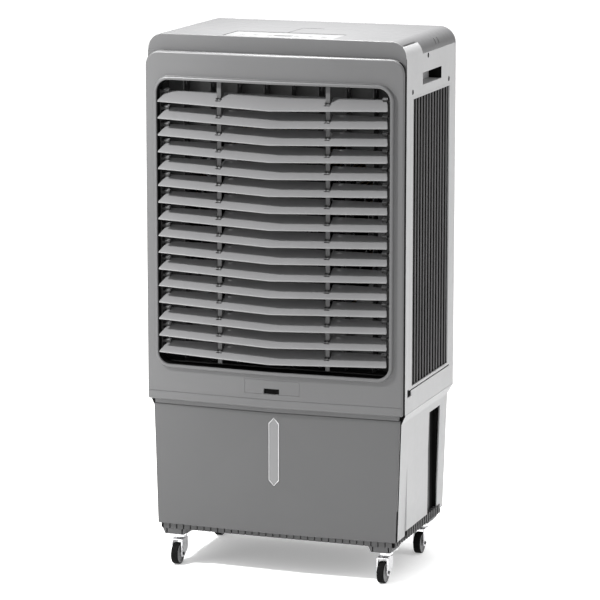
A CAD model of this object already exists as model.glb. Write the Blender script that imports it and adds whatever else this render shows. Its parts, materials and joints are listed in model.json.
"""Looks of the evaporative cooler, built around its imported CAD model.

Lengths in the helpers are millimetres in the cabinet's frame: X and Z are the row frame's, and Y is
measured from the cabinet's middle plane, which the tank's front face fixes.
"""

import json
import math

import bmesh
import bpy
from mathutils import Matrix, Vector

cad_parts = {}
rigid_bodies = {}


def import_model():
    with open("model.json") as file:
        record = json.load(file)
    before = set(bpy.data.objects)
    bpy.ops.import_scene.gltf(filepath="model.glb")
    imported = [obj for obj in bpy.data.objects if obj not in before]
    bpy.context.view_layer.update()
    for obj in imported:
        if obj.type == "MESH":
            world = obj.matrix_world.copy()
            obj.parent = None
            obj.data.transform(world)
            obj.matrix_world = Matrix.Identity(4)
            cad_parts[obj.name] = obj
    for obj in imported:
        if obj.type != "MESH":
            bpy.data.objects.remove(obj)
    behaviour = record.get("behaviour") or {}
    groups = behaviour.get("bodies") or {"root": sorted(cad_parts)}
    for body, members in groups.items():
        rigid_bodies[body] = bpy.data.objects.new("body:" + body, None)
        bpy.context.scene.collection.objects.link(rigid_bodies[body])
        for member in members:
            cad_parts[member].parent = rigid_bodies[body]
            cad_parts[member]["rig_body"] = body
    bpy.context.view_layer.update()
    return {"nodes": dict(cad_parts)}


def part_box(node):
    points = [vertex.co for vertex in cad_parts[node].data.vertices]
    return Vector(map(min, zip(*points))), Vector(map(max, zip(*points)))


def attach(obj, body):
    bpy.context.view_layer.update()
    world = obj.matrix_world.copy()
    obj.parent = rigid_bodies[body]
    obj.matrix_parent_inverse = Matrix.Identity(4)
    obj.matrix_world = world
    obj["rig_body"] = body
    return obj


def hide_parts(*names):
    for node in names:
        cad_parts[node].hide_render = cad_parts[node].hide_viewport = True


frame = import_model()


def span(node):
    """Lowest and highest corners of a CAD node in millimetres, in the cabinet's frame."""
    return [[p.x * 1000, p.y * 1000 - MID, p.z * 1000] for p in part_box(node)]


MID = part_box("tank_shell")[0].y * 1000 + 172.0
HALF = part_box("cabinet_shell")[1].x * 1000
CAB_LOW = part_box("cabinet_shell")[0].z * 1000
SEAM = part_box("cabinet_shell")[1].z * 1000
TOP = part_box("top_cover")[1].z * 1000
BEZEL_BACK = -179.5
FACE = -192.5
SHELL_FRONT = -175.5
REAR = span("tank_shell")[1][1]
KEEL = 14.0
MOUTH_X, MOUTH_LOW, MOUTH_TOP = 273.5, 478.0, 1123.5
SIDES = ((-1, "left"), (1, "right"))

# ---------------------------------------------------------------- materials


def shader(name, rough, metal=0.0, **sockets):
    mat = bpy.data.materials.new(name)
    mat.use_nodes = True
    bsdf = mat.node_tree.nodes["Principled BSDF"]
    bsdf.inputs["Roughness"].default_value = rough
    bsdf.inputs["Metallic"].default_value = metal
    for key, value in sockets.items():
        bsdf.inputs[key.replace("_", " ")].default_value = value
    return mat, mat.node_tree, bsdf


def noise(tree, scale, detail=2.0, rough=0.5, stretch=(1, 1, 1)):
    coords = tree.nodes.new("ShaderNodeTexCoord")
    place = tree.nodes.new("ShaderNodeMapping")
    place.inputs["Scale"].default_value = stretch
    tree.links.new(coords.outputs["Object"], place.inputs["Vector"])
    tex = tree.nodes.new("ShaderNodeTexNoise")
    tex.inputs["Scale"].default_value = scale
    tex.inputs["Detail"].default_value = detail
    tex.inputs["Roughness"].default_value = rough
    tree.links.new(place.outputs["Vector"], tex.inputs["Vector"])
    return tex.outputs["Fac"]


def ramp(tree, value, low, high, start=0.35, end=0.65):
    node = tree.nodes.new("ShaderNodeMapRange")
    node.inputs["From Min"].default_value = start
    node.inputs["From Max"].default_value = end
    node.inputs["To Min"].default_value = low
    node.inputs["To Max"].default_value = high
    tree.links.new(value, node.inputs["Value"])
    return node.outputs["Result"]


def tint(tree, value, dark, light):
    node = tree.nodes.new("ShaderNodeMix")
    node.data_type = "RGBA"
    node.inputs[6].default_value = (*dark, 1)
    node.inputs[7].default_value = (*light, 1)
    tree.links.new(value, node.inputs["Factor"])
    return node.outputs[2]


def bump(tree, bsdf, value, strength, depth):
    node = tree.nodes.new("ShaderNodeBump")
    node.inputs["Strength"].default_value = strength
    node.inputs["Distance"].default_value = depth
    tree.links.new(value, node.inputs["Height"])
    tree.links.new(node.outputs["Normal"], bsdf.inputs["Normal"])


def plastic(name, rgb, rough, mottle=0.035, grain=0.25, **sockets):
    """Moulded plastic: a fine spark-eroded grain, and faint flow marks in colour and gloss."""
    mat, tree, bsdf = shader(name, rough, **sockets)
    flow = ramp(tree, noise(tree, 7.0, 3.0, 0.55, (1, 1, 0.35)), 0.0, 1.0)
    dark = [c * (1 - mottle) for c in rgb]
    light = [c * (1 + mottle) for c in rgb]
    tree.links.new(tint(tree, flow, dark, light), bsdf.inputs["Base Color"])
    gloss = ramp(tree, noise(tree, 55.0, 4.0, 0.6), rough - 0.02, rough + 0.03)
    tree.links.new(gloss, bsdf.inputs["Roughness"])
    bump(tree, bsdf, noise(tree, 1500.0, 3.0, 0.6), grain, 0.00012)
    return mat


def metal(name, rgb, rough, stretch=(1, 1, 1), grain=0.1):
    mat, tree, bsdf = shader(name, rough, 1.0)
    cloud = ramp(tree, noise(tree, 90.0, 4.0, 0.6, stretch), 0.0, 1.0)
    tree.links.new(
        tint(tree, cloud, [c * 0.86 for c in rgb], rgb), bsdf.inputs["Base Color"]
    )
    tree.links.new(
        ramp(tree, noise(tree, 240.0, 3.0, 0.5, stretch), rough - 0.06, rough + 0.1),
        bsdf.inputs["Roughness"],
    )
    bump(tree, bsdf, noise(tree, 900.0, 2.0, 0.5, stretch), grain, 0.0001)
    return mat


def fluted_paper():
    """Cellulose pad: slanted flutes in a fibrous brown paper."""
    mat, tree, bsdf = shader("pad_paper", 0.9)
    coords = tree.nodes.new("ShaderNodeTexCoord")
    turn = tree.nodes.new("ShaderNodeMapping")
    turn.inputs["Rotation"].default_value = (math.radians(30), math.radians(30), 0)
    tree.links.new(coords.outputs["Object"], turn.inputs["Vector"])
    wave = tree.nodes.new("ShaderNodeTexWave")
    wave.wave_type = "BANDS"
    wave.bands_direction = "Z"
    wave.inputs["Scale"].default_value = 42.0
    wave.inputs["Distortion"].default_value = 1.2
    tree.links.new(turn.outputs["Vector"], wave.inputs["Vector"])
    tree.links.new(
        tint(tree, wave.outputs["Fac"], (0.045, 0.028, 0.014), (0.3, 0.2, 0.11)),
        bsdf.inputs["Base Color"],
    )
    bump(tree, bsdf, wave.outputs["Fac"], 0.9, 0.003)
    return mat


def rubber(name, rgb, rough=0.7, **sockets):
    mat, tree, bsdf = shader(name, rough, **sockets)
    dust = ramp(tree, noise(tree, 130.0, 5.0, 0.65), 0.0, 1.0)
    tree.links.new(
        tint(tree, dust, rgb, [min(1, c * 1.5 + 0.002) for c in rgb]),
        bsdf.inputs["Base Color"],
    )
    tree.links.new(
        ramp(tree, noise(tree, 60.0, 3.0, 0.5), rough - 0.1, rough + 0.1),
        bsdf.inputs["Roughness"],
    )
    bump(tree, bsdf, noise(tree, 1100.0, 3.0, 0.6), 0.3, 0.00015)
    return mat


GREY = plastic("grey_plastic", (0.08, 0.08, 0.0812), 0.42, 0.02)
BLADE = plastic("blade_grey_plastic", (0.15, 0.15, 0.152), 0.42)
LIGHT = plastic("light_grey_plastic", (0.31, 0.31, 0.313), 0.45, 0.02)
WHITE = plastic("panel_white_plastic", (0.15, 0.15, 0.151), 0.3, 0.015, 0.08)
TANK_GREY = plastic("tank_panel_grey_plastic", (0.056, 0.056, 0.057), 0.38, 0.02)
INNER = plastic("inner_grey_plastic", (0.2, 0.2, 0.205), 0.5)
LINK = plastic("link_grey_plastic", (0.06, 0.06, 0.061), 0.45)
BLACK = plastic("black_plastic", (0.012, 0.012, 0.012), 0.5, 0.2)
VANE = plastic("vane_black_plastic", (0.022, 0.022, 0.022), 0.42, 0.15, Specular_IOR_Level=0.35)
SKIRT = plastic("skirt_black_plastic", (0.045, 0.045, 0.046), 0.5, 0.15)
CLIP = plastic("clip_black_plastic", (0.02, 0.02, 0.02), 0.35, 0.15)
SLAT = plastic("slat_black_plastic", (0.05, 0.05, 0.051), 0.5, 0.12)
HUB = plastic("hub_grey_plastic", (0.14, 0.14, 0.142), 0.45, 0.05)
RIM = plastic("window_rim_plastic", (0.42, 0.42, 0.425), 0.2, 0.02, 0.05)
PANE = plastic("window_plastic", (0.12, 0.12, 0.122), 0.12, 0.03, 0.03, Coat_Weight=0.3)
VOID = plastic("recess_black_plastic", (0.004, 0.004, 0.004), 0.8, 0.2, Specular_IOR_Level=0.05)
INNER_DARK = plastic("channel_dark_plastic", (0.04, 0.04, 0.041), 0.6, 0.1)
PAPER = fluted_paper()
HOSE = rubber("hose_rubber", (0.025, 0.025, 0.026), 0.55)
PLUG = rubber("plug_rubber", (0.02, 0.02, 0.02), 0.75)
TYRE = rubber("castor_tyre_rubber", (0.003, 0.003, 0.003), 0.8, Specular_IOR_Level=0.08)
STEEL = metal("motor_steel", (0.42, 0.42, 0.43), 0.4, (1, 14, 1))
ZINC = metal("zinc_steel", (0.8, 0.8, 0.81), 0.3)
DARK_SCREW = metal("screw_black_steel", (0.05, 0.05, 0.05), 0.4)

# ---------------------------------------------------------------- mesh tools


class Build:
    """Collects solids of one piece: points in millimetres, faces, and a material for each face."""

    def __init__(self):
        self.points, self.faces, self.looks = [], [], []

    def add(self, points, faces, look=0):
        first = len(self.points)
        self.points += [tuple(p) for p in points]
        self.faces += [tuple(i + first for i in f) for f in faces]
        self.looks += [look] * len(faces)
        return self

    def prism(self, outline, axis, a, b, look=0):
        """A closed outline, given in the two other axes in their order, drawn out from a to b."""
        n = len(outline)
        place = {
            "x": lambda p, t: (t, p[0], p[1]),
            "y": lambda p, t: (p[0], t, p[1]),
            "z": lambda p, t: (p[0], p[1], t),
        }[axis]
        points = [place(p, a) for p in outline] + [place(p, b) for p in outline]
        sides = [(i, (i + 1) % n, (i + 1) % n + n, i + n) for i in range(n)]
        ends = [tuple(range(n))[::-1], tuple(range(n, 2 * n))]
        return self.add(points, sides + ends, look)

    def box(self, lo, hi, look=0):
        outline = [(lo[0], lo[1]), (hi[0], lo[1]), (hi[0], hi[1]), (lo[0], hi[1])]
        return self.prism(outline, "z", lo[2], hi[2], look)

    def loft(self, loops, look=0, ring=False, caps=(False, False), looks=None, open_loops=False):
        """Skins a list of loops that have the same number of points."""
        n, first = len(loops[0]), len(self.points)
        self.points += [tuple(p) for loop in loops for p in loop]
        pairs = len(loops) if ring else len(loops) - 1
        for k in range(pairs):
            a, b = k * n, ((k + 1) % len(loops)) * n
            for i in range(n - 1 if open_loops else n):
                j = (i + 1) % n
                self.faces.append((first + a + i, first + a + j, first + b + j, first + b + i))
                self.looks.append(looks[k] if looks else look)
        for wanted, k in zip(caps, (0, len(loops) - 1)):
            if wanted:
                self.faces.append(tuple(first + k * n + i for i in range(n)))
                self.looks.append(looks[min(k, pairs - 1)] if looks else look)
        return self

    def lathe(self, profile, centre, axis, n=40, look=0, looks=None):
        """A closed profile of (radius, along) turned about an axis through centre."""
        loops = []
        for r, t in profile:
            loop = []
            for i in range(n):
                a = 2 * math.pi * i / n
                u, v = r * math.cos(a), r * math.sin(a)
                offset = {"x": (t, u, v), "y": (u, t, v), "z": (u, v, t)}[axis]
                loop.append([c + o for c, o in zip(centre, offset)])
            loops.append(loop)
        return self.loft(loops, look, ring=True, looks=looks)

    def rod(self, r, centre, axis, a, b, n=32, look=0):
        circle = [
            (r * math.cos(2 * math.pi * i / n), r * math.sin(2 * math.pi * i / n))
            for i in range(n)
        ]
        middle = {"x": centre[1:], "y": (centre[0], centre[2]), "z": centre[:2]}[axis]
        outline = [(middle[0] + u, middle[1] + v) for u, v in circle]
        return self.prism(outline, axis, a, b, look)

    def mesh(self, name, looks):
        data = bpy.data.meshes.new(name)
        data.from_pydata(
            [(x / 1000, (y + MID) / 1000, z / 1000) for x, y, z in self.points], [], self.faces
        )
        for mat in looks:
            data.materials.append(mat)
        data.polygons.foreach_set("material_index", self.looks)
        turn_out(data)
        return data


def turn_out(data, weld=None, flatten=None):
    work = bmesh.new()
    work.from_mesh(data)
    if weld:
        bmesh.ops.remove_doubles(work, verts=work.verts, dist=weld)
    if flatten:
        bmesh.ops.dissolve_limit(
            work,
            angle_limit=math.radians(flatten),
            verts=work.verts,
            edges=work.edges,
            delimit={"MATERIAL"},
        )
    bmesh.ops.recalc_face_normals(work, faces=work.faces)
    work.to_mesh(data)
    work.free()
    data.update()


def finish_piece(piece, bevel=0.0, steps=2, angle=32.0, clamp=False):
    """Smooth shading that keeps flat faces flat, after an edge rounding where one is asked for."""
    piece.data.shade_smooth()
    if bevel:
        rounding = piece.modifiers.new("edges", "BEVEL")
        rounding.width = bevel / 1000
        rounding.segments = steps
        rounding.limit_method = "ANGLE"
        rounding.angle_limit = math.radians(angle)
        rounding.use_clamp_overlap = clamp
        rounding.harden_normals = True
    else:
        piece.data.set_sharp_from_angle(angle=math.radians(angle))
        weights = piece.modifiers.new("normals", "WEIGHTED_NORMAL")
        weights.keep_sharp = True
        weights.weight = 100


def put(name, data, body, nodes=(), bevel=0.0, steps=2, angle=32.0, clamp=False):
    piece = bpy.data.objects.new(name, data)
    bpy.context.scene.collection.objects.link(piece)
    finish_piece(piece, bevel, steps, angle, clamp)
    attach(piece, body)
    if nodes:
        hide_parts(*nodes)
    return piece


def make(
    build, name, looks, body, nodes=(), bevel=0.0, steps=2, angle=32.0, cuts=None, paint=None
):
    data = build.mesh(name, looks)
    if cuts is not None:
        data = carved(data, cuts)
    if paint:
        painted(data, paint)
    return put(name, data, body, nodes, bevel, steps, angle)


def painted(data, paint):
    """Gives each face the material that paint picks from its centre and its normal."""
    for face in data.polygons:
        c = face.center
        place = (c.x * 1000, c.y * 1000 - MID, c.z * 1000)
        face.material_index = paint(place, face.normal, face.material_index)


def carved(data, cuts):
    """The mesh less the solids in cuts."""
    whole = bpy.data.objects.new("whole", data)
    tool = bpy.data.objects.new("tool", cuts.mesh("tool", [data.materials[0]]))
    for o in (whole, tool):
        bpy.context.scene.collection.objects.link(o)
    step = whole.modifiers.new("cut", "BOOLEAN")
    step.operation = "DIFFERENCE"
    step.solver = "EXACT"
    step.use_self = True
    step.object = tool
    graph = bpy.context.evaluated_depsgraph_get()
    name = data.name
    made = bpy.data.meshes.new_from_object(whole.evaluated_get(graph))
    for o in (whole, tool):
        bpy.data.objects.remove(o)
    bpy.data.meshes.remove(data)
    made.name = name
    turn_out(made, weld=1e-6)
    return made


def refined(node, looks, bevel=0.5, steps=2, cuts=None, paint=None, angle=32.0, clamp=False):
    """A copy of a CAD node's own solids with rounded edges and clean shading, in its place."""
    data = frame["nodes"][node].data.copy()
    data.name = node + "_skin"
    data.materials.clear()
    for mat in looks:
        data.materials.append(mat)
    for layer in [a.name for a in data.attributes if a.name == "custom_normal"]:
        data.attributes.remove(data.attributes[layer])
    data.polygons.foreach_set("material_index", [0] * len(data.polygons))
    turn_out(data, weld=2e-6, flatten=0.4)
    if cuts is not None:
        data = carved(data, cuts)
    if paint:
        painted(data, paint)
    home = frame["nodes"][node]["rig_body"]
    return put(node + "_skin", data, home, (node,), bevel, steps, angle, clamp)


def keel(x):
    """How far the keeled front stands forward at x."""
    return -KEEL * (1 - abs(x) / HALF)


def rounded(x, z0, z1, r_low, r_top, n=8):
    """Upright rectangle of half width x with round corners, from the middle of its lower side."""
    r_low, r_top = max(r_low, 0.2), max(r_top, 0.2)
    points = [(0.0, z0)]
    for cx, cz, r, start in (
        (x - r_low, z0 + r_low, r_low, -90),
        (x - r_top, z1 - r_top, r_top, 0),
        (-x + r_top, z1 - r_top, r_top, 90),
        (-x + r_low, z0 + r_low, r_low, 180),
    ):
        for i in range(n + 1):
            a = math.radians(start + 90 * i / n)
            points.append((cx + r * math.cos(a), cz + r * math.sin(a)))
        if start == -90:
            points.append((x, (z0 + z1) / 2))
        if start == 0:
            points.append((0.0, z1))
        if start == 90:
            points.append((-x, (z0 + z1) / 2))
    return points


def quarter(r, steps=5):
    """Rounding of a corner: how far in from the side, and how far below the face."""
    for i in range(steps + 1):
        a = math.pi / 2 * i / steps
        yield r * (1 - math.cos(a)), r * (1 - math.sin(a))


def flank(side, a, b):
    """The range of X from a to b, mirrored to one side, lower end first."""
    return sorted((side * a, side * b))


# ---------------------------------------------------------------- front bezel and its drawer

DRAWER_X = 64.5
DRAWER_LOW, DRAWER_TOP = 426.0, 457.5
EDGE_R = 4.6
WALL = 3
LINER_Y = -169
GROOVE = (412.8, 413.75)


def bezel_loop(d, depth=None, y=None):
    line = rounded(HALF - d, CAB_LOW + d, SEAM - d, 5 - d, 33 - d)
    return [(x, FACE + keel(x) + depth if y is None else y, z) for x, z in line]


def ring_loop(g, depth=None, y=None):
    line = rounded(MOUTH_X + g, MOUTH_LOW - g, MOUTH_TOP + g, 28 + g, 28 + g)
    return [(x, FACE + keel(x) + depth if y is None else y, z) for x, z in line]


loops = [bezel_loop(0, y=BEZEL_BACK)]
loops += [bezel_loop(d, depth) for d, depth in quarter(EDGE_R, 7)]
profile = [(9.4, 0), (8.6, -0.4), (8.0, -1.6), (7.2, -5.6), (6.6, -7.0), (5.4, -7.8), (4.0, -8)]
profile += [(1.6, -8), (0.7, -7.7), (0.15, -7.0), (0, -6.2), (0, -3.4)]
loops += [ring_loop(g, depth) for g, depth in profile]
grey_bands = len(loops) - 1
loops += [ring_loop(0, y=LINER_Y), ring_loop(WALL, y=LINER_Y), ring_loop(WALL, depth=WALL)]
loops += [bezel_loop(WALL, depth=WALL), bezel_loop(WALL, y=BEZEL_BACK)]
bands = [0] * grey_bands + [1] * 3 + [0] * (len(loops) - grey_bands - 3)
cuts = Build()
cuts.prism(
    [(-310, FACE + 1.2), (0, FACE - KEEL + 0.9), (310, FACE + 1.2), (310, -260), (-310, -260)],
    "z",
    *GROOVE,
)
cuts.box([-DRAWER_X - 0.5, -260, DRAWER_LOW - 0.5], [DRAWER_X + 0.5, -150, DRAWER_TOP + 0.5])
bezel = Build().loft(loops, ring=True, looks=bands)


def bezel_paint(c, n, look):
    return 1 if abs(n[0]) > 0.62 and abs(c[0]) > HALF - 34 and c[1] > FACE + 4 else look


make(
    bezel, "bezel", [GREY, VOID], "root", ["front_bezel"],
    cuts=cuts, paint=bezel_paint,
)

edge = FACE + keel(DRAWER_X)
front = Build()
front.prism(
    [
        (-DRAWER_X, edge), (0, FACE - KEEL), (DRAWER_X, edge),
        (DRAWER_X, edge + 5), (-DRAWER_X, edge + 5),
    ],
    "z",
    DRAWER_LOW,
    DRAWER_TOP,
)
slot_cut = Build().box([-18.8, -260, DRAWER_LOW + 0.6], [18.0, edge + 3.4, DRAWER_LOW + 12.6])
make(front, "drawer_front", [GREY], "fill_drawer", cuts=slot_cut)
grip = Build().box([-18.7, edge + 1.4, DRAWER_LOW + 0.7], [17.9, edge + 3.3, DRAWER_LOW + 12.5])
grip.box([-9, edge - 2.2, DRAWER_LOW + 1.4], [9, edge + 1.6, DRAWER_LOW + 3.2])
make(grip, "drawer_grip", [VOID], "fill_drawer", bevel=0.3)
low, high = span("fill_drawer")
tray = Build().box([low[0] + 4, edge + 5, DRAWER_LOW + 2], [high[0] - 4, high[1], DRAWER_TOP - 4])
hollow = [
    (low[0] + 6, edge + 6), (high[0] - 6, edge + 6), (high[0] - 6, high[1] - 12),
    (50, high[1] - 12), (50, high[1] + 4), (-50, high[1] + 4), (-50, high[1] - 12),
    (low[0] + 6, high[1] - 12),
]
tray_cut = Build().prism(hollow, "z", DRAWER_LOW + 4, 480)
make(
    tray, "drawer_tray", [GREY], "fill_drawer", ["fill_drawer"],
    bevel=0.6, cuts=tray_cut,
)

# ---------------------------------------------------------------- hood and its control panel

W_HOOD = HALF - 0.7
HOOD_R, BACK_R, PLAN_R = 35, 15, 8


def pulled_in(r, y):
    """How far a rear edge of radius r has pulled in at y."""
    return r - math.sqrt(max(0.0, r * r - max(0.0, y - (REAR - r)) ** 2))


def hood_arch(y, d=0.0, n=10):
    """Section of the hood at y, shrunk by d, from its lower left end to its lower right end."""
    drop, pull = pulled_in(BACK_R, y), pulled_in(PLAN_R, y)
    w, h = W_HOOD - pull - d, TOP - drop - d
    rz = min(HOOD_R - d, h - SEAM - 0.4)
    rx = HOOD_R - d
    points = [(-w, SEAM)]
    for i in range(n + 1):
        a = math.pi * (1 - i / n / 2)
        points.append((-w + rx + rx * math.cos(a), h - rz + rz * math.sin(a)))
    points.append((0.0, h))
    points += [(-x, z) for x, z in points[-2::-1]]
    return [(x, y, z) for x, z in points]


hood = Build()
stations = [(SHELL_FRONT + depth, d) for d, depth in quarter(1.6, 4)][::-1]
stations += [(y, 0) for y in (-120, -60, 0, 60, 120, REAR - BACK_R)]
for i in range(1, 13):
    stations.append((REAR - BACK_R + BACK_R * math.sin(math.pi / 2 * i / 12), 0))
hood.loft([hood_arch(y, d) for y, d in stations], caps=(True, True), open_loops=True)
deck = Build()
deck.box([-129.4, -168.4, TOP - 3], [129.4, -69.6, TOP + 5])
deck.box([-10, -66, TOP - 0.8], [42, 36, TOP + 5])
make(hood, "hood", [GREY], "root", ["top_cover"], cuts=deck)

# the hood's face reaches down behind the bezel's round corners, and two ribs stand on each flank
apron = Build()
for side in (-1, 1):
    xs = flank(side, HALF - 40, HALF - 0.7)
    apron.box([xs[0], SHELL_FRONT - 1.4, 1150], [xs[1], SHELL_FRONT - 0.1, SEAM + 0.4])
    for y in (44.0, 66.0):
        loops = []
        for t in (y, y + 3.6):
            loop = []
            for grow in (-0.4, 1.2):
                angles = [12 + 32 * k / 6 for k in range(7)]
                for a in angles if grow < 0 else angles[::-1]:
                    r = 34.3 + grow * (1.0 if 14 < a < 43 else 0.2)
                    x = HALF - HOOD_R + r * math.cos(math.radians(a))
                    loop.append((side * x, t, TOP - HOOD_R + r * math.sin(math.radians(a))))
            loops.append(loop)
        apron.loft(loops, caps=(True, True))
make(apron, "hood_apron", [GREY], "root", bevel=0.3)

panel = Build()
panel.prism(
    [(x, y - 119.0) for x, y in rounded(128.8, -49.0, 49.0, 6, 6)], "z", TOP - 4, TOP - 1.0
)
make(
    panel, "control_panel_plate", [WHITE], "root", ["control_panel"],
    bevel=0.7, steps=3,
)
KEYS_Y = -127
keys = Build()
for i in range(7):
    x = -96 + 32 * i
    if i == 3:
        display = [(x + u, KEYS_Y + v) for u, v in rounded(21, -9, 9, 2, 2, 4)]
        keys.prism(display, "z", TOP - 1.2, TOP - 0.7, 1)
        continue
    for outer, inner, steps in ((6.2, 5.2, 32), (1.3, 0.2, 16)):
        band = [(outer, -1.2), (outer, -0.75), (inner, -0.75), (inner, -1.2)]
        keys.lathe(band, (x, KEYS_Y, TOP), "z", steps)
make(keys, "control_marks", [HUB, PANE], "root")
lid_line = [(16 + u, -15 + v) for u, v in rounded(25.6, -50.6, 50.6, 3, 3, 4)]
lid = Build().prism(lid_line, "z", TOP - 2, TOP - 0.5)
make(lid, "hood_lid", [GREY], "root", bevel=0.4)

# the side panel's tab that rises beside the hood's front corner
TAB_ANGLE = 44.0
for side, tag in SIDES:
    tab = Build()
    loops = []
    for share, limit in ((0.0, TAB_ANGLE - 4), (0.02, TAB_ANGLE), (1.0, TAB_ANGLE)):
        loop = []
        for grow in (0.0, -2.2):
            ring = [(HALF + grow, SEAM - 1.6), (HALF + grow, SEAM)]
            for k in range(10):
                a = math.radians(limit * k / 9)
                r = HOOD_R + grow
                ring.append((HALF - HOOD_R + r * math.cos(a), TOP - HOOD_R + r * math.sin(a)))
            loop += ring if grow == 0 else ring[::-1]
        rows = []
        for x, z in loop:
            lean = (z - SEAM) / (TOP - SEAM) * 14
            back = -60 - lean
            front = SHELL_FRONT + 0.4
            rows.append((side * (x - 0.02), front + (back - front) * share, z))
        loops.append(rows)
    tab.loft(loops, caps=(True, True))
    make(tab, "side_tab_" + tag, [LIGHT], "root")
    gap = Build()
    a0, a1 = math.radians(TAB_ANGLE), math.radians(TAB_ANGLE + 7)
    outline = []
    for r in (34.6, 33.0):
        for a in (a0, a1) if r > 34 else (a1, a0):
            x = HALF - HOOD_R + r * math.cos(a)
            outline.append((side * x, TOP - HOOD_R + r * math.sin(a)))
    gap.prism(outline, "y", SHELL_FRONT + 14, -82)
    make(gap, "tab_gap_" + tag, [CLIP], "root", bevel=0.1)

# ---------------------------------------------------------------- cabinet, grilles, grips


SCREWS = ((-131.0, 1109.5), (140.0, 1109.5), (-19.0, 1179.5))


def shell_paint(c, n, look):
    if c[1] < SHELL_FRONT + 1 and n[1] < -0.9:
        return 1
    if HALF - 31 < abs(c[0]) < HALF - 4 and 1116 < c[2] < 1146 and c[1] > 80:
        return 1
    for y, z in SCREWS:
        if abs(c[0]) < HALF - 0.2 and math.hypot(c[1] - y, c[2] - z) < 6:
            return 1
    return 0


wells = Build()
for side in (-1, 1):
    for y, z in SCREWS:
        xs = flank(side, HALF - 2.4, HALF + 3)
        wells.rod(5.6, (0, y, z), "x", xs[0], xs[1], 32)
refined(
    "cabinet_shell", [LIGHT, VOID], bevel=0.35, cuts=wells, paint=shell_paint
)

GRILLE = span("side_grille_right")
OPEN_Y0, OPEN_Y1, OPEN_LOW, OPEN_TOP = -126.0, 146.0, 450.5, 1093.5
for side, name in ((-1, "side_grille_left"), (1, "side_grille_right")):
    body = Build()
    y0, y1 = -146.3, 160.3
    lo, hi = 444.5, GRILLE[1][2] + 0.3
    step = (OPEN_Y1 - OPEN_Y0) / 13

    def plate(a, b, z0, z1, x0, x1, target=body):
        xs = flank(side, x0, x1)
        target.box([xs[0], a, z0], [xs[1], b, z1])

    plate(y0, OPEN_Y0, lo, hi, HALF - 3, HALF)
    plate(OPEN_Y1, y1, lo, hi, HALF - 3, HALF)
    plate(OPEN_Y0, OPEN_Y1, lo, OPEN_LOW, HALF - 3, HALF)
    plate(OPEN_Y0, OPEN_Y1, OPEN_TOP, hi, HALF - 3, HALF)
    make(body, name + "_frame", [LIGHT], name, [name], bevel=0.12)
    slats = Build()
    for i in range(13):
        y = OPEN_Y0 + (i + 0.5) * step
        xs = [HALF - 13, HALF - 4.5, HALF - 2.6, HALF - 2.6, HALF - 4.5, HALF - 13]
        ys = [-2.2, -2.6, -1.4, 1.4, 2.6, 2.2]
        outline = [(side * x, y + v) for x, v in zip(xs, ys)]
        slats.prism(outline, "z", OPEN_LOW - 2, OPEN_TOP + 2)
    for z in (OPEN_LOW, OPEN_TOP - 5, (OPEN_LOW + OPEN_TOP) / 2 - 2.5):
        plate(OPEN_Y0 - 1, OPEN_Y1 + 1, z, z + 5, HALF - 14, HALF - 10, target=slats)
    for a, b in ((OPEN_Y0 - 2, OPEN_Y0 + 0.6), (OPEN_Y1 - 0.6, OPEN_Y1 + 2)):
        plate(a, b, OPEN_LOW - 2, OPEN_TOP + 2, HALF - 13, HALF - 2.9, target=slats)
    make(
        slats, name + "_slats", [VOID, SLAT], name,
        paint=lambda c, n, look: 1 if abs(n[0]) > 0.45 and abs(c[0]) > HALF - 8 else 0,
    )
    latch = Build()
    plate(-157.4, -129.6, 430.2, 446.6, HALF - 3.4, HALF - 1.6, target=latch)
    plate(-152, -136, 433.5, 436.0, HALF - 3, HALF - 0.8, target=latch)
    plate(-157.4, y1, 440.2, 444.4, HALF - 5, HALF - 2.2, target=latch)
    make(latch, name + "_latch", [VOID], name, bevel=0.4)

refined("rear_grille", [SLAT], bevel=0.4)
refined("cooling_pads", [PAPER], bevel=1.0)

# ---------------------------------------------------------------- louvre

BLADES = 16
PIVOT_Y = -175.0
TILT = math.radians(33)
PITCH = 37.93
LOW_BLADE = 526.0
LINK_X, LINK_R = 127.8, 24.0
BLADE_HALF, FLAT_HALF, CORNER = 268.8, 256, 12.8
REACH_MID, REACH_END = 54.5, 38.0
THICK = 1.0


def blade_z(i):
    return LOW_BLADE + (BLADES - i) * PITCH


def tilted(x, v, w, z):
    """A point of a blade: v forward from the pivot is negative, w is up from its plane."""
    y = PIVOT_Y + v * math.cos(TILT) - w * math.sin(TILT)
    return (x, y, z + v * math.sin(TILT) + w * math.cos(TILT))


def blade_mesh(z):
    blade = Build()
    columns = [-BLADE_HALF, -267.6, -262, -FLAT_HALF, -140, -138.2, -125, -123.2, -60, -1.2, 0]
    columns += [-x for x in columns[-2::-1]]
    loops = []
    for x in columns:
        reach = REACH_MID - (REACH_MID - REACH_END) * abs(x) / BLADE_HALF
        if abs(x) > FLAT_HALF:
            t = (abs(x) - FLAT_HALF) / CORNER
            back = -4 - 12 * min(1, t / 0.77) - (22 * (t - 0.77) / 0.23 if t > 0.77 else 0)
            back = max(back, -reach + 6)
        else:
            back = 2.0
        section = [
            (back, THICK * 0.35), (back - 0.7, THICK), (-reach + 5, 1.15), (-reach + 1.6, 1.2),
            (-reach + 0.4, 0.75), (-reach, 0.0), (-reach + 0.4, -0.75), (-reach + 1.6, -1.2),
            (-reach + 5, -1.15), (back - 0.7, -THICK), (back, -THICK * 0.35),
        ]
        loops.append([tilted(x, v, w, z) for v, w in section])
    blade.loft(loops, caps=(True, True))
    return blade


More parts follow.
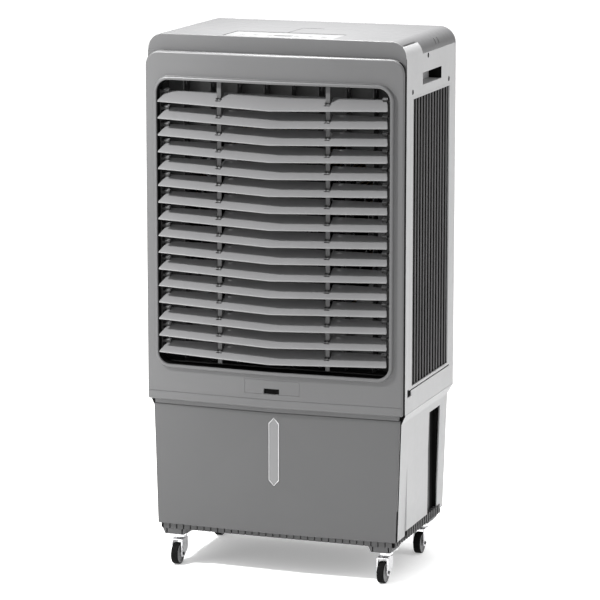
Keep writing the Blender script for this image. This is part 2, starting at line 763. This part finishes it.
def blade_fittings(z):
    """Pivot pins and link pins, and the pivot blocks at the blade's ends with their lips."""
    part = Build()
    for side in (-1, 1):
        a, b = flank(side, 250.0, 272.9)
        part.rod(1.95, (0, PIVOT_Y, z), "x", a, b, 20)
        c = tilted(0, -LINK_R, 0, z)
        a, b = side * LINK_X - 7.6, side * LINK_X + 7.6
        part.rod(1.55, (0, c[1], c[2]), "x", a, b, 16)
        ear = [
            (-7.5, -2.6), (3.0, -2.6), (3.6, 0.0), (3.4, 4.5), (1.5, 6.4), (-5.0, 6.4), (-7.2, 4.0),
        ]
        part.loft(
            [[tilted(t, v, w, z) for v, w in ear] for t in (side * 250.6, side * 261.8)],
            look=1,
            caps=(True, True),
        )
        lip = [(-5.4, 6.4), (2.0, 6.4), (2.0, 7.6), (-5.4, 7.6)]
        part.loft(
            [[tilted(t, v, w, z) for v, w in lip] for t in (side * 250.0, side * 262.4)],
            caps=(True, True),
        )
    return part


def notch_cuts(z):
    """The notches in a blade's rear edge that the link bars pass through."""
    cut = Build()
    for side in (-1, 1):
        ring = [(-30, -6), (4, -6), (4, 6), (-30, 6)]
        ends = (side * LINK_X - 6.5, side * LINK_X + 6.5)
        cut.loft([[tilted(t, v, w, z) for v, w in ring] for t in ends], caps=(True, True))
    return cut


for i in range(1, BLADES + 1):
    node = "louvre_blade_%02d" % i
    z = blade_z(i)
    make(
        blade_mesh(z), node + "_skin", [BLADE], node, [node],
        cuts=notch_cuts(z), angle=40,
    )
    make(blade_fittings(z), node + "_pins", [BLADE, CLIP], node, bevel=0.25)

links = Build()
clips = Build()
for side in (-1, 1):
    y = PIVOT_Y - LINK_R * math.cos(TILT)
    low, high = span("louvre_links")[0][2], span("louvre_links")[1][2]
    links.box([side * LINK_X - 5, y + 2.4, low], [side * LINK_X + 5, y + 5.4, high])
    for i in range(1, BLADES + 1):
        z = blade_z(i) - LINK_R * math.sin(TILT)
        arc = []
        for k in range(13):
            a = math.radians(-60 + 300 * k / 12 - 90)
            arc.append((4.6 * math.cos(a), 4.6 * math.sin(a)))
        inner = [(u * 0.55, v * 0.55) for u, v in arc[::-1]]
        outline = [(y + u, z + v) for u, v in arc + inner]
        for t0, t1 in ((-5.6, -2.2), (2.2, 5.6)):
            loops = [[(side * LINK_X + t, p[0], p[1]) for p in outline] for t in (t0, t1)]
            clips.loft(loops, caps=(True, True))
        links.box([side * LINK_X - 2.0, y - 1, z - 2.6], [side * LINK_X + 2.0, y + 3.2, z + 2.6])
        clips.box([side * LINK_X - 5.2, y + 1.2, z + 3.0], [side * LINK_X + 5.2, y + 2.9, z + 5.0])
make(
    links, "link_bars", [LINK], "louvre_links", ["louvre_links"],
    bevel=0.5, steps=3,
)
make(clips, "link_clips", [CLIP], "louvre_links")

arms = Build()
low, high = span("louvre_brackets")
for side in (-1, 1):
    xs = flank(side, 270.4, 273.2)
    arms.box([xs[0], -182, low[2]], [xs[1], -168, high[2]])
    for i in range(1, BLADES + 1):
        z = blade_z(i)
        xs = flank(side, 263.4, 270.6)
        arms.rod(5.2, (0, PIVOT_Y, z), "x", xs[0], xs[1], 28)
make(arms, "pivot_arms", [CLIP], "root", ["louvre_brackets"], bevel=0.4)

# ---------------------------------------------------------------- vanes, fan and wet section

refined("vane_frame", [BLACK], bevel=0.8)
for i in range(1, 9):
    refined("swing_vane_%d" % i, [VANE], bevel=0.4)
refined("vane_link", [BLACK], bevel=0.3)
refined("swing_motor", [STEEL], bevel=0.5)
refined("fan_shroud", [BLACK], bevel=0.4, clamp=True)
refined("fan_guard", [BLACK], bevel=0.8)
refined("fan_motor", [STEEL], bevel=1.2, steps=3)
refined("fan_impeller", [INNER], bevel=0.8)
refined("water_distributor", [INNER], bevel=0.5)
refined("supply_hose", [HOSE], bevel=0.4)
refined("water_pump", [BLACK], bevel=1.5, steps=3)

# ---------------------------------------------------------------- tank


TANK_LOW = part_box("tank_shell")[0].z * 1000
TANK_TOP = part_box("tank_shell")[1].z * 1000
TANK_FRONT = -172.0
COLLAR = 371.5
CHANNEL_Y0, CHANNEL_Y1, CHANNEL_X, CHANNEL_TOP = 39.0, 125.0, 276.0, 356.0
PAD_FRONT, PAD_REAR, PAD_LOW = -118.0, 150.0, 114.0
HALF_LOW, HALF_COLLAR = 286.5, 294.5
REAR_LOW, REAR_COLLAR = 180.0, 186.0


def tank_loop(z, inset=0.0, low_round=0.0):
    """Section of the tank at one height, from its front left corner."""
    if z <= COLLAR:
        share = max(0.0, (z - TANK_LOW) / (COLLAR - TANK_LOW))
        half = HALF_LOW + (HALF_COLLAR - HALF_LOW) * share
        rear = REAR_LOW + (REAR_COLLAR - REAR_LOW) * share
    else:
        share = min(1.0, (z - COLLAR) / (TANK_TOP - 1.5 - COLLAR))
        half = HALF_COLLAR + (HALF - HALF_COLLAR) * share
        rear = REAR_COLLAR + (REAR - REAR_COLLAR) * share
    half -= inset + low_round
    rear -= inset + low_round
    front = TANK_FRONT + inset + low_round * 0.3
    r = max(8.0 - inset, 1.0)
    along = (PAD_FRONT, CHANNEL_Y0 - 6, CHANNEL_Y1 + 6, PAD_REAR)
    points = [(-half, front, z)]
    for cx, start in ((half - r, 0), (-half + r, 90)):
        if start == 0:
            points += [(half, y, z) for y in (front, *along)]
        for k in range(7):
            a = math.radians(start + 90 * k / 6)
            points.append((cx + r * math.cos(a), rear - r + r * math.sin(a), z))
    points += [(-half, y, z) for y in along[::-1]]
    return points


def tank_paint(c, n, look):
    if c[1] < TANK_FRONT + 1.5 and n[1] < -0.7:
        return 1
    return 1 if c[2] < PAD_LOW and PAD_FRONT < c[1] < PAD_REAR and abs(c[0]) > 270 else 0


tank = Build()
loops = [tank_loop(TANK_LOW + rise, low_round=pull) for pull, rise in quarter(3.0, 4)][::-1]
heights = (PAD_LOW, TANK_LOW + 60, 240.0, 330.0, COLLAR - 3, COLLAR, COLLAR + 4)
loops += [tank_loop(z) for z in (*heights, TANK_TOP - 1.5, TANK_TOP)]
loops += [tank_loop(z, 3.0) for z in (TANK_TOP, COLLAR, 240.0, TANK_LOW + 3)]
tank.loft(loops, caps=(True, True))
channel = Build()
for side in (-1, 1):
    xs = flank(side, CHANNEL_X + 1.0, HALF + 5)
    channel.box([xs[0], CHANNEL_Y0 + 1, TANK_LOW - 5], [xs[1], CHANNEL_Y1 - 1, CHANNEL_TOP - 1])
channel.rod(11.05, (-150, 170, 121.5), "y", 160, 200, 40)
make(
    tank, "tank_body", [LIGHT, VOID], "root", ["tank_shell"],
    cuts=channel, paint=tank_paint,
)

# the channel's liner, and the raised pad in front of it on each side of the tank
for side, tag in SIDES:
    liner = Build()
    y0, y1, x0, z1 = CHANNEL_Y0, CHANNEL_Y1, CHANNEL_X, CHANNEL_TOP
    out = 288.6

    def wall(lo, hi, look):
        xs = flank(side, lo[0], hi[0])
        liner.box([xs[0], lo[1], lo[2]], [xs[1], hi[1], hi[2]], look)

    wall((x0 - 2, y0 - 1, TANK_LOW + 0.3), (x0, y0 + 64, z1 + 1), 1)
    wall((x0 - 2, y0 + 64, TANK_LOW + 0.3), (x0, y1 + 1, z1 + 1), 0)
    wall((x0, y1 - 1, TANK_LOW + 0.3), (out - 3, y1 + 1, z1 + 1), 0)
    wall((x0, y0 - 1, TANK_LOW + 0.3), (out - 3, y0 + 1, z1 + 1), 1)
    wall((x0, y0 + 1, z1 - 1), (out - 1, y1 - 1, z1 + 1), 0)
    make(liner, "tank_channel_" + tag, [VOID, INNER_DARK], "root")
    pad = Build()
    loops = []
    for z, x in ((PAD_LOW, 289.4), (117.0, 290.6), (240.0, 291.4), (357.0, 292.0), (366.0, 293.8)):
        rear = CHANNEL_Y0 + 1.6
        ends = ((284.0, PAD_FRONT), (x, PAD_FRONT), (x, rear), (284.0, rear))
        loops.append([(side * u, v, z) for u, v in ends])
    pad.loft(loops, caps=(True, True))
    make(pad, "tank_pad_" + tag, [LIGHT], "root", bevel=0.9, steps=3)

# the band that fills the gap between the tank's front panel and the bezel
brow = Build()
brow_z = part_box("tank_front_panel")[1].z * 1000
brow_line = [(-291, -179.6), (0, -190.6), (291, -179.6), (291, -172.2), (-291, -172.2)]
brow.prism(brow_line, "z", brow_z - 1, CAB_LOW - 0.2)
make(brow, "tank_brow", [GREY], "root")
refined("tank_front_panel", [TANK_GREY], bevel=2.2, steps=4)
refined("drain_plug", [PLUG], bevel=0.8, steps=3)

win_lo, win_hi = span("level_window")
PANE_HALF, TIP = 12.5, 13


def hexagon(grow, y):
    """Outline of the level window with pointed ends, grown by a margin, at y."""
    w = PANE_HALF + grow
    z0, z1 = win_lo[2] - grow, win_hi[2] + grow
    line = [(-w, z0 + TIP), (0, z0), (w, z0 + TIP), (w, z1 - TIP), (0, z1), (-w, z1 - TIP)]
    return [(x, y, z) for x, z in line]


pane_y = win_lo[1]
window = Build()
section = [(-1.4, 3.0), (-1.4, 1.0), (-1.9, 0.7)]
window.loft([hexagon(grow, pane_y + back) for grow, back in section], caps=(True, True))
make(window, "window_pane", [PANE], "root", ["level_window"])
rimming = Build()
section = [(0, 2.6), (0, 0.3), (-0.4, -0.2), (-1.2, -0.2), (-1.7, 0.3), (-1.7, 2.6)]
rimming.loft([hexagon(grow, pane_y + back) for grow, back in section], ring=True)
make(rimming, "window_rim", [RIM], "root")

# ---------------------------------------------------------------- base

base_lo, base_hi = span("base_skirt")
skirt_hx = base_hi[0]
skirt_y0, skirt_y1 = base_lo[1], base_hi[1]
SKIRT_LOW = 87.5
RIB_PITCH = 16.7
BLOCK_X, BLOCK_LOW = 248, 74.5
skirt = Build()
skirt.box(
    [-skirt_hx + 3, skirt_y0 + 2.4, SKIRT_LOW + 0.4],
    [skirt_hx - 3, skirt_y1 - 2.4, TANK_LOW - 0.2],
    1,
)
count = int(2 * skirt_hx / RIB_PITCH)
start = -count * RIB_PITCH / 2
for k in range(count):
    x = start + k * RIB_PITCH
    for y0, y1 in ((skirt_y0, skirt_y0 + 3), (skirt_y1 - 3, skirt_y1)):
        skirt.box([x + 1.15, y0, SKIRT_LOW], [x + RIB_PITCH - 1.15, y1, TANK_LOW - 0.4])
for k in range(int((skirt_y1 - skirt_y0) / RIB_PITCH)):
    y = skirt_y0 + 6 + k * RIB_PITCH
    for side in (-1, 1):
        xs = flank(side, skirt_hx - 4, skirt_hx)
        skirt.box([xs[0], y, SKIRT_LOW], [xs[1], y + 6.5, TANK_LOW - 0.4])
        if PAD_FRONT < y < 138:
            xs = flank(side, skirt_hx - 2, skirt_hx + 6.2)
            skirt.box([xs[0], y, SKIRT_LOW + 6], [xs[1], y + 6.5, 113.8])
for x in (-BLOCK_X, BLOCK_X):
    for y0, y1 in ((skirt_y0, skirt_y0 + 68), (skirt_y1 - 68, skirt_y1)):
        top = SKIRT_LOW + 0.6
        shape = [(x - 22.8, BLOCK_LOW), (x + 22.8, BLOCK_LOW), (x + 29, top), (x - 29, top)]
        skirt.prism(shape, "y", y0 + 0.6, y1 - 0.6)
slots = Build()
for x in (-BLOCK_X, BLOCK_X):
    for dx in (-18.5, 18.5):
        slots.box([x + dx - 1.3, skirt_y0 - 5, 76.0], [x + dx + 1.3, skirt_y0 + 12, 87.0])
        slots.box([x + dx - 1.3, skirt_y1 - 12, 76.0], [x + dx + 1.3, skirt_y1 + 5, 87.0])
make(skirt, "skirt", [SKIRT, VOID], "root", ["base_skirt"], bevel=0.5, cuts=slots)

# ---------------------------------------------------------------- castors

TYRE_HALF = 8.5
refined("castor_plates", [ZINC], bevel=0.4)
for tag in ("fl", "fr", "rl", "rr"):
    refined("castor_fork_" + tag, [ZINC], bevel=0.5, steps=3)
    lo, hi = span("castor_wheel_" + tag)
    centre = [(a + b) / 2 for a, b in zip(lo, hi)]
    r = (hi[2] - lo[2]) / 2
    w = TYRE_HALF
    wheel = Build()
    tyre = [
        (r - 4, -w + 1.2), (r - 2.4, -w + 0.1), (r - 1.2, -w + 0.5), (r - 0.3, -w + 1.7),
        (r, -w + 3), (r, w - 3), (r - 0.3, w - 1.7), (r - 1.2, w - 0.5), (r - 2.4, w - 0.1),
        (r - 4, w - 1.2),
    ]
    wheel.lathe(tyre, centre, "x", 64)
    hub = [
        (3.1, -w - 0.9), (6.6, -w - 0.9), (7.2, -w - 0.3), (7.4, -w + 1.2), (17.5, -w + 1.5),
        (18.6, -w + 0.1), (22.0, -w), (22.6, -w + 0.4), (22.6, w - 0.4), (22.0, w),
        (18.6, w - 0.1), (17.5, w - 1.5), (7.4, w - 1.2), (7.2, w + 0.3), (6.6, w + 0.9),
        (3.1, w + 0.9),
    ]
    wheel.lathe(hub, centre, "x", 64, look=1)
    cheeks = Build()
    for side in (-1, 1):
        y = centre[1]
        shape = [
            (y + 30, 58.8), (y + 30.4, 36), (y + 27, 29), (y + 9, 17.5),
            (y + 3, 16.4), (y - 5, 18.6), (y - 7.6, 25), (y - 6.0, 58.8),
        ]
        xs = sorted((centre[0] + side * 12.6, centre[0] + side * 13.5))
        cheeks.prism(shape, "x", xs[0], xs[1])
        nut = sorted((centre[0] + side * 13.4, centre[0] + side * 15.4))
        cheeks.rod(4.2, (0, centre[1], centre[2]), "x", nut[0], nut[1], 6, look=1)
    fork, roller = "castor_fork_" + tag, "castor_wheel_" + tag
    make(cheeks, "castor_cheeks_" + tag, [ZINC, DARK_SCREW], fork, bevel=0.25)
    make(wheel, roller + "_skin", [TYRE, HUB], roller, [roller], angle=40)


def screw_paint(c, n, look):
    return 1 if c[2] > 500 else 0


refined("fasteners", [ZINC, DARK_SCREW], bevel=0.3, paint=screw_paint)

# ---------------------------------------------------------------- stage, light and camera

floor_mat, floor_tree, floor_bsdf = shader("floor_paper", 0.9)
paper = ramp(floor_tree, noise(floor_tree, 3.0, 2.0, 0.5), 0.0, 1.0)
floor_tree.links.new(
    tint(floor_tree, paper, (0.9, 0.9, 0.9), (0.92, 0.92, 0.92)), floor_bsdf.inputs["Base Color"]
)
# a faint glow of the floor keeps its shadow pale
floor_bsdf.inputs["Emission Color"].default_value = (1, 1, 1, 1)
floor_bsdf.inputs["Emission Strength"].default_value = 0.3
floor_mesh = bpy.data.meshes.new("floor")
corners = [(-40, -40, 0), (40, -40, 0), (40, 40, 0), (-40, 40, 0)]
floor_mesh.from_pydata(corners, [], [(0, 1, 2, 3)])
floor_mesh.materials.append(floor_mat)
floor = bpy.data.objects.new("floor", floor_mesh)
bpy.context.scene.collection.objects.link(floor)

SKY_LOW, SKY_HIGH = 0.38, 1.5
world = bpy.data.worlds.new("studio")
bpy.context.scene.world = world
world.use_nodes = True
sky = world.node_tree
direction = sky.nodes.new("ShaderNodeTexCoord")
parts = sky.nodes.new("ShaderNodeSeparateXYZ")
sky.links.new(direction.outputs["Generated"], parts.inputs["Vector"])
dome = sky.nodes.new("ShaderNodeMapRange")
dome.interpolation_type = "SMOOTHSTEP"
dome.inputs["From Min"].default_value = 0.35
dome.inputs["From Max"].default_value = 0.95
dome.inputs["To Min"].default_value = SKY_LOW
dome.inputs["To Max"].default_value = SKY_HIGH
sky.links.new(parts.outputs["Z"], dome.inputs["Value"])
sky.links.new(dome.outputs["Result"], sky.nodes["Background"].inputs["Strength"])
sky.nodes["Background"].inputs["Color"].default_value = (1, 1, 1, 1)


def softbox(name, at, toward, width, height, power):
    lamp = bpy.data.lights.new(name, "AREA")
    lamp.shape = "RECTANGLE"
    lamp.size, lamp.size_y = width, height
    lamp.energy = power
    holder = bpy.data.objects.new(name, lamp)
    bpy.context.scene.collection.objects.link(holder)
    holder.location = at
    holder.rotation_mode = "QUATERNION"
    holder.rotation_quaternion = (Vector(toward) - Vector(at)).to_track_quat("-Z", "Y")


softbox("crown_box", (0.0, 0.06, 1.9), (0, 0.06, 1.2), 0.7, 0.4, 38)
softbox("key_box", (-1.27, -1.37, 2.32), (0, -0.2, 0.8), 0.18, 0.18, 92)
softbox("left_box", (-0.72, -0.72, 0.75), (-0.3, -0.2, 0.7), 0.2, 1.3, 3.6)
softbox("right_box", (2.4, 0.3, 1.3), (0.3, 0, 0.7), 1.0, 1.6, 15)
softbox("right_near_box", (0.75, -0.85, 0.85), (0.3, -0.2, 0.8), 0.2, 1.3, 1.4)

camera = bpy.data.objects.new("camera", bpy.data.cameras.new("camera"))
bpy.context.scene.collection.objects.link(camera)
camera.data.sensor_width = 36
camera.data.lens = 194.98
camera.location = (2.4224, -6.8849 + MID / 1000, 1.9844)
camera.rotation_mode = "QUATERNION"
camera.rotation_quaternion = (-Vector((0.32671, -0.92668, 0.18577))).to_track_quat("-Z", "Y")
camera.data.clip_start, camera.data.clip_end = 0.1, 100
bpy.context.scene.camera = camera
bpy.context.scene.view_settings.view_transform = "Standard"
